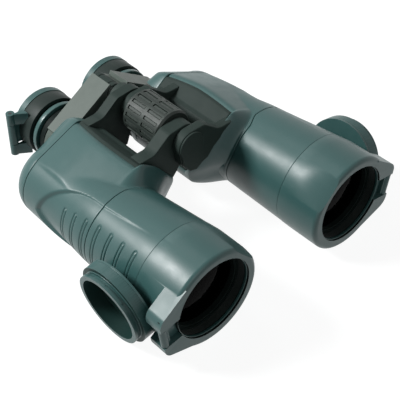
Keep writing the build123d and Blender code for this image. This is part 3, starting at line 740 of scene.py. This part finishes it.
def slot_depth(degrees, station, reach):
    """Outline grooves of the narrow grip bars that run down the outer side."""
    depth = 0.0
    for middle, top in zip(SLOT_STATIONS, SLOT_TOPS):
        past_top = np.maximum(np.radians(degrees - top) * reach, 0.0)
        away = np.hypot(station - middle, past_top)
        line = np.exp(-(((away - SLOT_HALF) / SLOT_LINE) ** 2))
        depth = np.maximum(depth, SLOT_DEPTH * line)
    return depth * ramp(degrees, *SLOT_FADE) * (degrees < UPRIGHT)


# Nose of the housing: stations where it leaves the barrel and is full, and the powers of its curve
UPPER_NOSE = (77.5, 88.5)
LOWER_NOSE = (84.0, 97.0)
NOSE_LEAVING = 1.7
NOSE_FILLING = 1.9
NOSE_ROOT = 0.94
UNION = 140.0


def body_reach(angle, station):
    """Outer radius of the teal body behind the shroud: the barrel's cone joined to the housing."""
    degrees = turn_of(angle)
    low = low_side(degrees)
    start = mix(UPPER_NOSE[0], LOWER_NOSE[0], low)
    end = mix(UPPER_NOSE[1], LOWER_NOSE[1], low)
    nose = np.clip((station - start) / (end - start), 0.0, 1.0)
    nose = 1.0 - (1.0 - nose ** NOSE_LEAVING) ** NOSE_FILLING
    barrel = barrel_reach(angle, station)
    housing = mix(NOSE_ROOT * barrel, housing_reach(angle, station), nose)
    outer = np.maximum(barrel, housing)
    reach = outer * ((barrel / outer) ** UNION + (housing / outer) ** UNION) ** (1.0 / UNION)
    return reach - scoop_depth(degrees, station, reach) - slot_depth(degrees, station, reach)


def seam_pull(angle):
    """How far the seam between sleeve and housing is drawn forward on the upper side of the lobe."""
    degrees = turn_of(angle)
    return (REAR_SEAM - UPPER_NOSE[0]) * lobe_side(degrees) * (1.0 - low_side(degrees))


def section_place(angle, reach, station):
    """Places at a reach from the middle point of the cross section."""
    return half_point(MIDDLE[0] + reach * np.cos(angle), MIDDLE[1] + reach * np.sin(angle), station)


def spread(start, *runs):
    """Stations from a start through runs of (step, end)."""
    stations = []
    for step, end in runs:
        stations.append(np.linspace(start, end, max(1, round((end - start) / step)), endpoint=False))
        start = end
    stations.append(np.array([start]))
    return np.concatenate(stations)


# Rolled edges at the seams: (distance from the seam, inset)
EDGE_ROLL = ((0.0, 0.55), (0.06, 0.30), (0.18, 0.12), (0.36, 0.03))
ROLL_INSET = EDGE_ROLL[0][1]
ROLL_LENGTH = 0.5
SKIN_COLUMNS = 360
COVER_COLUMNS = 240
# Rows of the skins, as runs of (step, end)
SLEEVE_ROWS = ((0.3, 80.0), (0.4, REAR_SEAM))
ARMOUR_ROWS = ((0.3, 110.0), (0.8, COVER_SEAM))
COVER_ROWS_START = 149.2
COVER_ROWS = ((0.8, 158.0), (0.4, 161.6), (0.1, COVER_END))
BACK_SHARES = (0.85, 0.6, 0.3, 0.0)
FACE_SHARES = (0.0, 0.5, 1.0)


def rolled_rows(stations, wall):
    """Rows of (station, inset) round a wall whose outer ends are rolled in to the seams."""
    first, last = stations[0], stations[-1]
    outer = [(first + along, inset) for along, inset in EDGE_ROLL]
    outer += [(station, 0.0) for station in stations if first + ROLL_LENGTH < station < last - ROLL_LENGTH]
    outer += [(last - along, inset) for along, inset in reversed(EDGE_ROLL)]
    inner = [(last, wall), (mix(last, first, 0.5), wall), (first, wall)]
    rows = outer + inner + outer[:1]
    return np.array(rows)


SLEEVE_MIDDLE = 60.0
SLEEVE_PULL_START = 70.0


def make_sleeve():
    """Grip sleeve of the barrel between the two seams."""
    rows = rolled_rows(spread(FRONT_SEAM + SEAM_GAP, *SLEEVE_ROWS), SKIN_WALL)

    def places(angle, row):
        station, inset = rows[row, 0], rows[row, 1]
        pulled = seam_pull(angle) * ramp(station, SLEEVE_PULL_START, REAR_SEAM)
        station = station - pulled - SEAM_GAP * (station > SLEEVE_MIDDLE)
        return section_place(angle, body_reach(angle, station) - inset, station)

    return skin("right_grip_sleeve", SKIN_COLUMNS, len(rows) - 1, places)


ARMOUR_PULL_END = 96.0
ARMOUR_FRONT = 85.0
ARMOUR_REAR = 148.0


def make_armour():
    """Rubber skin of the prism housing."""
    rows = rolled_rows(spread(REAR_SEAM, *ARMOUR_ROWS), SKIN_WALL)

    def places(angle, row):
        station, inset = rows[row, 0], rows[row, 1]
        pulled = seam_pull(angle) * (1.0 - ramp(station, REAR_SEAM, ARMOUR_PULL_END))
        station = station - pulled + SEAM_GAP * (station < ARMOUR_FRONT) - SEAM_GAP * (station > ARMOUR_REAR)
        return section_place(angle, body_reach(angle, station) - inset, station)

    return skin("right_armour_skin", SKIN_COLUMNS, len(rows) - 1, places)


# Rear cover: how it rounds over to its back, and the room in it for the carrier, eyepiece and screws
COVER_ROLL = 10.0
COVER_LOBE_ROLL = 3.5
COVER_ROLL_START = 149.5
COVER_LOBE_UPPER = (140.0, 168.0)
COVER_SKIN_START = COVER_SEAM + 0.2
WING_TOP = 9.6
WING_FALL = math.tan(math.radians(6.6))
ROOM_INNER = -5.0
ROOM_OUTER = 63.5
ROOM_BOTTOM = -60.0
ROOM_START = 154.0
ROOM_END = COVER_END + 5.0
SNOUT_START = 140.0
SNOUT_LENGTH = 30.0
SNOUT_RADIUS = 14.4
SCREW_PLACES = ((80.0, 7.0), (82.0, -10.0), (72.0, -24.0))
SCREW_SEAT = 155.6
SCREW_HOLE_RADIUS = 2.5
SCREW_HOLE_LENGTH = 12.0


def cover_reach(angle, station):
    """Rear cover: carries the body on and rounds over to its back."""
    reach = body_reach(angle, np.maximum(station, COVER_SKIN_START))
    along = np.clip((station - COVER_ROLL_START) / (COVER_END - COVER_ROLL_START), 0.0, 1.0)
    roll = mix(COVER_ROLL, COVER_LOBE_ROLL, lobe_side(turn_of(angle), COVER_LOBE_UPPER))
    return reach - roll * (1.0 - np.sqrt(1.0 - along ** 2))


def make_cover():
    """Rear cover, cut back round the eyepiece carrier."""
    front = COVER_SEAM + SEAM_GAP
    wall = [(front + along, inset, 1.0) for along, inset in EDGE_ROLL]
    wall += [(station, 0.0, 1.0) for station in spread(COVER_ROWS_START, *COVER_ROWS)]
    back = [(COVER_END, 0.0, share) for share in BACK_SHARES]
    face = [(front, ROLL_INSET, share) for share in FACE_SHARES]
    rows = np.array(wall + back + face)

    def places(angle, row):
        station, inset, share = rows[row, 0], rows[row, 1], rows[row, 2]
        return section_place(angle, (cover_reach(angle, station) - inset) * share, station)

    cover = skin("right_cover_shell", COVER_COLUMNS, len(rows) - 1, places)
    room = [
        (ROOM_INNER, WING_TOP),
        (ROOM_OUTER, WING_TOP - ROOM_OUTER * WING_FALL),
        (ROOM_OUTER, ROOM_BOTTOM),
        (ROOM_INNER, ROOM_BOTTOM),
    ]
    carve(cover, prism("cover_room", room, ROOM_START, ROOM_END, half_point))
    snout = drill(SNOUT_RADIUS, 0.0, SNOUT_LENGTH)
    snout_start = half_point(EYE_OUT, EYE_UP, SNOUT_START)
    carve(cover, turned("cover_bore", snout, snout_start, BACKWARD, OUTWARD, steps=64))
    screw_hole = drill(SCREW_HOLE_RADIUS, 0.0, SCREW_HOLE_LENGTH)
    for out, up in SCREW_PLACES:
        seat = half_point(out, up, SCREW_SEAT)
        carve(cover, turned("screw_hole", screw_hole, seat, BACKWARD, OUTWARD, steps=32))
    return cover


# Saddle: its slope hangs below the top panel, and its ends close to a point inside the section
SADDLE_UNDER_PANEL = 7.6
SADDLE_LEAN = 0.5565
SADDLE_HEAD = (35.0, 20.9)
SADDLE_CORE = (27.4, 5.5)
SADDLE_GAP = 0.2
SADDLE_STEP = 2.0
SADDLE_ROUNDING = 0.6
SADDLE_SHARP_ANGLE = 20.0


def saddle_section(top):
    """Corners (out, up) of the saddle below a height: slope, ledge and wall, and back along the inside."""
    def slope_out(up):
        return SADDLE_HEAD[0] + (up - SADDLE_HEAD[1]) * SADDLE_LEAN

    return (
        (slope_out(top) + 2.6, top - 0.5),
        (slope_out(top - 1.2), top - 1.2),
        (28.6, 9.4),
        (26.0, 7.4),
        (25.2, 4.2),
        (20.9, -27.0),
        (24.0, -28.0),
        (28.2, 3.0),
        (31.2, 7.0),
        (slope_out(top) + 3.8, top - 2.2),
    )


def make_saddle():
    """Charcoal frame that shows between the armour and the hinge: a slope, a ledge and a wall."""
    stations = spread(SADDLE_START[0] - SADDLE_GAP, (SADDLE_STEP, COVER_SEAM - SEAM_GAP))
    corners = len(saddle_section(0.0))

    def places(angle, row):
        corner = np.rint(angle / (2.0 * math.pi) * corners).astype(int) % corners
        station = stations[np.clip(row - 1, 0, len(stations) - 1)]
        section = saddle_section(panel_distance(station) - SADDLE_UNDER_PANEL)
        out, up = (
            np.choose(corner, [np.broadcast_to(value, station.shape) for value in values])
            for values in zip(*section)
        )
        ends = (row == 0) | (row == len(stations) + 1)
        out, up = np.where(ends, SADDLE_CORE[0], out), np.where(ends, SADDLE_CORE[1], up)
        front = saddle_front(turn_of(np.arctan2(up - MIDDLE[1], out - MIDDLE[0]))) - SADDLE_GAP
        share = (station - stations[0]) / (stations[-1] - stations[0])
        return half_point(out, up, mix(front, stations[-1], share))

    saddle = skin("right_saddle", corners, len(stations) + 1, places)
    return round_edges(saddle, SADDLE_ROUNDING, segments=3, angle=SADDLE_SHARP_ANGLE)


for make, node in (
    (make_sleeve, "barrel_sleeve"),
    (make_armour, "armour"),
    (make_cover, "rear_cover"),
    (make_saddle, "housing"),
):
    both_sides(shade(make()), node)

# Front end: shroud with a dark bore, thread rings in the bore, and the swung-open cap
rim_centre = half_point(BARREL_OUT, 0.0, 0.0)
objective_axis = rim_centre / MM
CAP_HINGE = 37.2
CAP_PIN_STATION = 2.4
CAP_RISE = math.radians(16.9)
CAP_OPEN = math.radians(269.0)
lug_out = half_vector(math.cos(CAP_RISE), math.sin(CAP_RISE))
cap_way = -lug_out * math.cos(CAP_OPEN) - BACKWARD * math.sin(CAP_OPEN)
cap_mouth = BACKWARD * math.cos(CAP_OPEN) - lug_out * math.sin(CAP_OPEN)
cap_pin = half_point(
    BARREL_OUT + CAP_HINGE * math.cos(CAP_RISE),
    CAP_HINGE * math.sin(CAP_RISE),
    CAP_PIN_STATION,
)
cap_centre = Vector(cap_pin) + cap_way * (CAP_HINGE * MM)
LUG_TIP = 39.6
LUG_HALF = 15.0
LUG_ROUNDING = 4.4
LUG_REACH = 0.1
SHROUD_ROUNDING = 0.7
BORE_FACES = 27.3
BORE_FACES_START = 0.4
# Room for the cap's arm between the ears of the lug
NOTCH_HALF = 7.7
NOTCH_DEPTH = 3.9
NOTCH_INNER = 22.0
NOTCH_OUTER = 42.0
NOTCH_FRONT = -2.0


def lug_corners(first, second):
    """Edges along the two outer corners of the lug."""
    pin_along = np.array(lug_out.cross(BACKWARD))
    chosen = np.ones(len(first), bool)
    for end in (first, second):
        offset = end - objective_axis
        chosen &= offset @ np.array(lug_out) > LUG_TIP - LUG_REACH
        chosen &= abs(offset @ pin_along) > LUG_HALF - LUG_REACH
    return chosen


def bore_faces(middles):
    return (from_axis(middles, objective_axis) < BORE_FACES) & (middles[:, 1] > RIM_Y + BORE_FACES_START)


def make_shroud():
    """Front ring with a two-eared lug, black inside."""
    shroud = merged("right_objective_shroud", "right_objective_shroud_piece")
    round_picked(shroud, LUG_ROUNDING, segments=6, picked=lug_corners)
    round_edges(shroud, SHROUD_ROUNDING, segments=3)
    ahead = np.array((math.cos(CAP_RISE), math.sin(CAP_RISE)))
    aside = np.array((-ahead[1], ahead[0]))
    corners = (
        (NOTCH_INNER, -NOTCH_HALF),
        (NOTCH_OUTER, -NOTCH_HALF),
        (NOTCH_OUTER, NOTCH_HALF),
        (NOTCH_INNER, NOTCH_HALF),
    )
    room = [(BARREL_OUT, 0.0) + out * ahead + half * aside for out, half in corners]
    carve(shroud, prism("notch_room", room, NOTCH_FRONT, NOTCH_DEPTH, half_point))
    return paint(shade(shroud), "right_objective_shroud", "tube_black", bore_faces)


# Thread inside the rim: radii and stations
THREAD_OUTER = 26.97
THREAD_RUN = (1.4, 8.5)
THREAD_CREST = 26.62
THREAD_ROOT = 26.9
THREAD_LAST_CREST = 8.3
THREAD_PITCH = 0.7
THREAD_TURNS = 7
LIP = ((26.6, 3.1), (26.52, 2.8), (26.52, 1.9), (26.6, 1.6))
LIP_END = 3.2
THREAD_SHADING = 20.0


# Faces of the lip, which take the lighter cap teal as a painted highlight line
def lip_highlight_faces(middles):
    return middles[:, 1] < RIM_Y + LIP_END


def make_bore_thread():
    """Fine thread inside the rim, behind a lip painted in the lighter cap teal: a painted highlight line in
    the dark bore.
    """
    profile = [(THREAD_OUTER, station) for station in THREAD_RUN]
    for turn in range(THREAD_TURNS):
        crest = THREAD_LAST_CREST - THREAD_PITCH * turn
        profile += [(THREAD_CREST, crest), (THREAD_ROOT, crest - THREAD_PITCH / 2.0)]
    profile += LIP
    thread = turned("right_bore_thread", profile, rim_centre, BACKWARD, OUTWARD, steps=128)
    # The lip takes the lighter cap teal: a painted highlight line in the dark bore
    paint(thread, "right_objective_tube", "cap_teal", lip_highlight_faces)
    return shade(thread, THREAD_SHADING)


# Front cap: grooves as (floor radius, wall radius, start, end) along its mouth, dish and inside
CAP_ROUNDING = 0.45
CAP_GROOVES = ((26.1, 27.4, -2.1, -1.7), (22.4, 24.8, 4.9, 6.8))
GROOVE_SLANT = 0.1
DISH_RADIUS = 13.5
DISH_RUN = (-5.0, -2.9)
CAP_INSIDE_RADIUS = 21.0
CAP_INSIDE_RUN = (-1.6, 8.6)


# Faces inside the cap's hollow, which take the darker teal as painted shade
def cap_hollow_shade_faces(middles):
    mouth = np.array(cap_mouth)
    offset = middles - np.array(cap_centre) / MM
    along = offset @ mouth
    away = np.linalg.norm(offset - along[:, None] * mouth, axis=1)
    return (away < CAP_INSIDE_RADIUS) & (along > CAP_INSIDE_RUN[0]) & (along < CAP_INSIDE_RUN[1])


def make_objective_cap():
    """Stepped plug: a wide band, a groove and a lip round the mouth."""
    cap = softened("right_objective_cap", "right_objective_cap_piece", CAP_ROUNDING)
    for floor, wall, start, end in CAP_GROOVES:
        groove = [(floor, start + GROOVE_SLANT), (wall, start), (wall, end), (floor, end - GROOVE_SLANT)]
        carve(cap, turned("cap_groove", groove, cap_centre, cap_mouth, cap_way, steps=128))
    dish = drill(DISH_RADIUS, *DISH_RUN)
    carve(cap, turned("cap_dish", dish, cap_centre, cap_mouth, cap_way, steps=96))
    # The hollow of the cap gets painted shade: a darker teal
    return shade(paint(cap, "right_objective_cap", "cap_hollow_painted_shade", cap_hollow_shade_faces))


# Front lens: stations of its two faces on the axis, and twice their radii of curvature
CROWN_RADIUS = 25.6
CROWN_FRONT = 10.1
CROWN_FRONT_CURVE = 254.6
CROWN_REAR = 19.28
CROWN_REAR_CURVE = 221.4
CROWN_STEPS = 12


def make_crown():
    """Front lens, with a hair of air before the lens behind it."""
    arc = [CORE] + [CROWN_RADIUS * step / CROWN_STEPS for step in range(1, CROWN_STEPS + 1)]
    front = [(radius, CROWN_FRONT + radius ** 2 / CROWN_FRONT_CURVE) for radius in arc]
    rear = [(radius, CROWN_REAR - radius ** 2 / CROWN_REAR_CURVE) for radius in reversed(arc)]
    crown = turned("right_objective_crown_piece", front + rear, rim_centre, BACKWARD, OUTWARD, steps=96)
    return shade(crown)


for piece in both_sides(make_shroud(), "objective_shroud"):
    weigh_normals(piece)
both_sides(make_crown(), "objective_crown")
for piece in both_sides(make_objective_cap(), "objective_cap"):
    weigh_normals(piece)
thread = make_bore_thread()
for side, piece in (("right", thread), ("left", twin(thread, "left_bore_thread"))):
    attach(piece, f"{side}_half")

# Eyecups: dark rubber with hinge ears in the cap's colour
EYECUP_RADIUS = 21.9
EYECUP_ROUNDING = 0.6
EYE_CAP_ROUNDING = 0.9
for side, sign in (("right", 1.0), ("left", -1.0)):
    eye_axis = half_point(EYE_OUT, EYE_UP, 0.0) / MM * np.array((sign, 1.0, 1.0))
    cup = softened(f"{side}_eyecup", f"{side}_eyecup_piece", EYECUP_ROUNDING, segments=3)
    paint(cup, f"{side}_eyecup", "cap_teal", lambda middles: from_axis(middles, eye_axis) > EYECUP_RADIUS)
    stand_for(cup, f"{side}_eyecup")
    cap = softened(f"{side}_eyepiece_cap", f"{side}_eyepiece_cap_piece", EYE_CAP_ROUNDING, segments=3)
    stand_for(weigh_normals(cap), f"{side}_eyepiece_cap")

# Focus wheel: raised pads leave a fine outline round every slot
WHEEL_RADIUS = 14.7
WHEEL_ROWS = (109.9, 124.7)
WHEEL_SLOTS = 18
PAD_HEIGHT = 1.0
PAD_LENGTH = 11.0
PAD_WIDTH = 1.7
PAD_SINK = 0.95
PAD_ROUNDING = 0.15


def make_wheel_pads():
    """Two rows of pads round the wheel, copied from one."""
    clear_selection()
    bpy.ops.mesh.primitive_cube_add(size=1.0)
    pattern = named("wheel_pads")
    pattern.data.transform(Matrix.Diagonal((PAD_HEIGHT * MM, PAD_LENGTH * MM, PAD_WIDTH * MM, 1.0)))
    pattern.data.transform(Matrix.Translation(((WHEEL_RADIUS - PAD_SINK) * MM, 0.0, 0.0)))
    round_edges(pattern, PAD_ROUNDING, segments=1)
    pads = []
    for row in WHEEL_ROWS:
        for step in range(WHEEL_SLOTS):
            pad = pattern.copy()
            pad.data = pattern.data.copy()
            bpy.context.scene.collection.objects.link(pad)
            pad.data.transform(Matrix.Rotation(2.0 * math.pi * step / WHEEL_SLOTS, 4, "Y"))
            pad.data.transform(Matrix.Translation((0.0, (RIM_Y + row) * MM, HINGE_HEIGHT * MM)))
            pads.append(pad)
    bpy.data.objects.remove(pattern)
    return joined(pads, "wheel_pads")


pads = make_wheel_pads()
pads.data.materials.append(finish["wheel_rubber"])
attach(pads, "focus_wheel")

# Pieces that keep their CAD shape with worked edges. The hub of the bridge is darker than its wings.
HUB_RADIUS = 6.1
HINGE_POINT = (0.0, 0.0, HINGE_HEIGHT)
WORKED_EDGES = {
    "right_front_arm": 0.8,
    "left_front_arm": 0.8,
    "right_rear_arm": 0.8,
    "left_rear_arm": 0.8,
    "right_eyepiece_carrier": 0.6,
    "left_eyepiece_carrier": 0.6,
    "hinge_cover": 0.5,
    "focus_wheel": 0.22,
    "right_dioptre_ring": 0.6,
    "left_eyepiece_ring": 0.6,
}


def hub_faces(middles):
    return from_axis(middles, HINGE_POINT) < HUB_RADIUS


for node, width in WORKED_EDGES.items():
    piece = weigh_normals(softened(node, f"{node}_piece", width))
    if node.endswith("carrier"):
        paint(piece, node, "arm_charcoal", hub_faces)
    stand_for(piece, node)

# CAD nodes that keep their own meshes
replaced = {name for piece in bpy.data.objects for name in piece.get("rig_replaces", [])}
for name, node in nodes.items():
    if name not in replaced:
        node.data.materials.clear()
        node.data.materials.append(finish["dark_pin" if name.endswith("_pin") else slot_of[name]])

# Stage: sizes and distances in metres, lamp powers in watts
WHITE = (1.0, 1.0, 1.0, 1.0)
FLOOR_SIZE = 6.0
FLOOR_GREY = (0.20, 0.21, 0.21, 1.0)
SEEN_GLOW = 0.92
ROOM_GLOW = 0.08
LAMP_TARGET = Vector((0.0, 0.0, 0.04))


def seen_by_eye(tree):
    """1 for rays from the camera, also by way of a mirror or glass, and 0 for the rest of the light."""
    paths = tree.nodes.new("ShaderNodeLightPath")
    seen = math_node(tree, "MAXIMUM", paths.outputs["Is Camera Ray"], paths.outputs["Is Glossy Ray"])
    return math_node(tree, "MAXIMUM", seen, paths.outputs["Is Transmission Ray"])


def make_floor():
    """White floor that takes soft shadows."""
    clear_selection()
    bpy.ops.mesh.primitive_plane_add(size=FLOOR_SIZE)
    floor = named("floor")
    material, tree, shader = new_material("floor_white")
    tree.nodes.remove(shader)
    diffuse = tree.nodes.new("ShaderNodeBsdfDiffuse")
    diffuse.inputs["Color"].default_value = FLOOR_GREY
    glow = tree.nodes.new("ShaderNodeEmission")
    glow.inputs["Color"].default_value = WHITE
    feed(tree, glow.inputs["Strength"], math_node(tree, "MULTIPLY", seen_by_eye(tree), SEEN_GLOW))
    total = tree.nodes.new("ShaderNodeAddShader")
    feed(tree, total.inputs[0], diffuse.outputs[0])
    feed(tree, total.inputs[1], glow.outputs[0])
    feed(tree, tree.nodes["Material Output"].inputs["Surface"], total.outputs[0])
    floor.data.materials.append(material)


def make_world():
    """White surroundings that light the object only a little."""
    world = bpy.data.worlds.new("studio")
    bpy.context.scene.world = world
    world.use_nodes = True
    tree = world.node_tree
    background = tree.nodes["Background"]
    background.inputs["Color"].default_value = WHITE
    strength = math_node(tree, "MULTIPLY_ADD", seen_by_eye(tree), SEEN_GLOW, ROOM_GLOW)
    feed(tree, background.inputs["Strength"], strength)


def softbox(name, towards, distance, width, height, power):
    """Area lamp that looks at the object from a direction."""
    towards = Vector(towards).normalized()
    lamp = bpy.data.lights.new(name, "AREA")
    lamp.shape = "RECTANGLE"
    lamp.size = width
    lamp.size_y = height
    lamp.energy = power
    holder = bpy.data.objects.new(name, lamp)
    bpy.context.scene.collection.objects.link(holder)
    holder.location = towards * distance + LAMP_TARGET
    holder.rotation_euler = towards.to_track_quat("Z", "Y").to_euler()


# Camera at the photograph's viewing angle, from a fit to the object's own lines
CAMERA_AZIMUTH = math.radians(-43.7)
CAMERA_ELEVATION = math.radians(42.58)
CAMERA_ROLL = math.radians(1.11)
CAMERA_PLACE = Vector((-320.28, -363.28, 448.29))
FOCAL_LENGTH = 88.26
SENSOR_WIDTH = 36.0
CLIP_START = 0.01
CLIP_END = 20.0


def make_camera():
    back = Vector((
        math.sin(CAMERA_AZIMUTH) * math.cos(CAMERA_ELEVATION),
        -math.cos(CAMERA_AZIMUTH) * math.cos(CAMERA_ELEVATION),
        math.sin(CAMERA_ELEVATION),
    ))
    level = Vector((math.cos(CAMERA_AZIMUTH), math.sin(CAMERA_AZIMUTH), 0.0))
    upright = back.cross(level)
    right = math.cos(CAMERA_ROLL) * level + math.sin(CAMERA_ROLL) * upright
    up = -math.sin(CAMERA_ROLL) * level + math.cos(CAMERA_ROLL) * upright
    lens = bpy.data.cameras.new("camera")
    lens.lens = FOCAL_LENGTH
    lens.sensor_width = SENSOR_WIDTH
    lens.clip_start = CLIP_START
    lens.clip_end = CLIP_END
    camera = bpy.data.objects.new("camera", lens)
    bpy.context.scene.collection.objects.link(camera)
    turn = Matrix((right, up, back)).transposed().to_4x4()
    camera.matrix_world = Matrix.Translation(CAMERA_PLACE * MM) @ turn
    bpy.context.scene.camera = camera


make_floor()
make_world()
softbox("box_behind_left", (-0.57, 0.5, 0.65), distance=1.2, width=0.34, height=0.34, power=16.5)
softbox("box_behind_above", (0.08, 0.5, 0.86), distance=1.3, width=0.45, height=0.45, power=1.2)
softbox("box_front", (-0.3, -1.0, 0.6), distance=1.5, width=0.9, height=0.6, power=2.4)
make_camera()
bpy.context.scene.view_settings.view_transform = "Standard"
